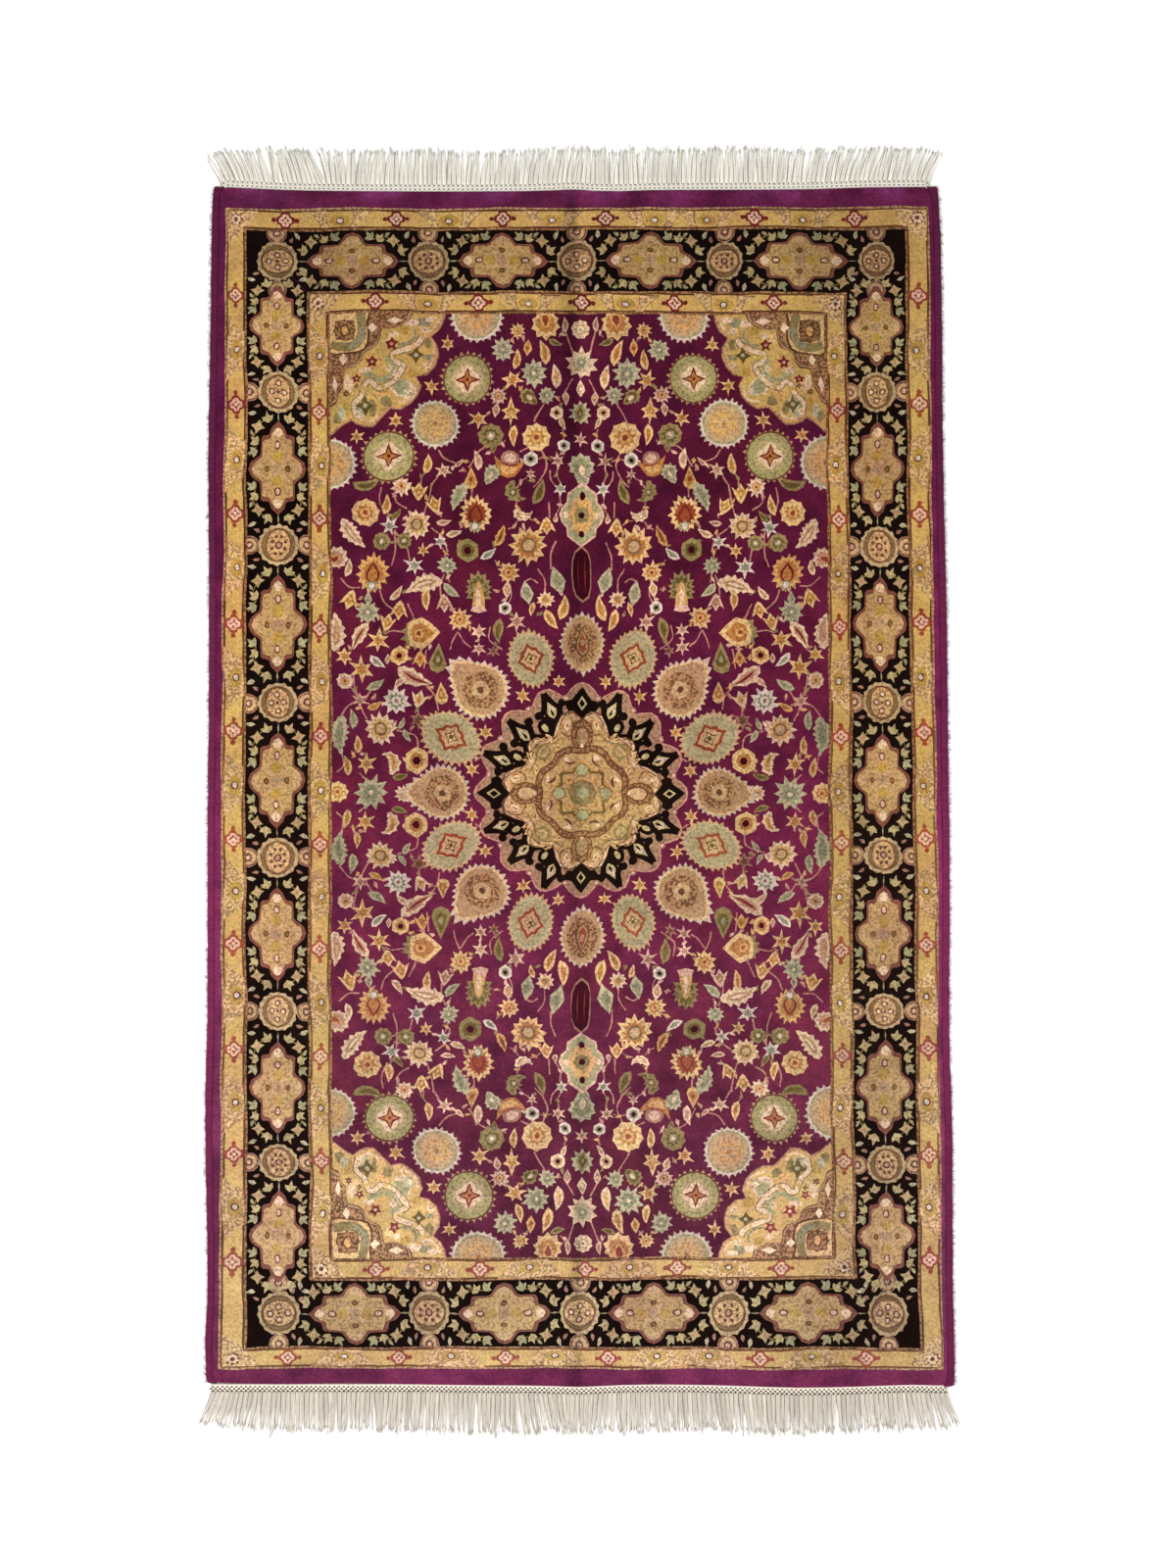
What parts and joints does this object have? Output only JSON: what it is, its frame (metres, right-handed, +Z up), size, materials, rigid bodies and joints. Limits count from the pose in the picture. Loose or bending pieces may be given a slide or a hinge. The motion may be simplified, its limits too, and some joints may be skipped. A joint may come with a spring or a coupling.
{
  "type": "pakistani rug",
  "caption": "Small hand-knotted medallion rug with deep wool pile, overcast long edges and a knotted cotton fringe at each end; lies flat on a floor.",
  "frame": {"origin": "on the floor under the middle of the whole rug, fringes included", "axes": "+Y along the rug towards the end that is the top in the picture, +X across it to the right, +Z up out of the pile"},
  "size_m": [0.9742, 1.6612, 0.0139],
  "materials": {
    "pile": "cut wool pile in purple, black, gold, sage, rust and cream",
    "overcast_wool": "purple wool wrapped round the edge warps",
    "fringe_cotton": "undyed twisted cotton warps"
  },
  "bodies": {
    "root": {"rug": "pile", "selvedge_left": "overcast_wool", "selvedge_right": "overcast_wool", "fringe_top": "fringe_cotton", "fringe_bottom": "fringe_cotton"}
  },
  "joints": []
}
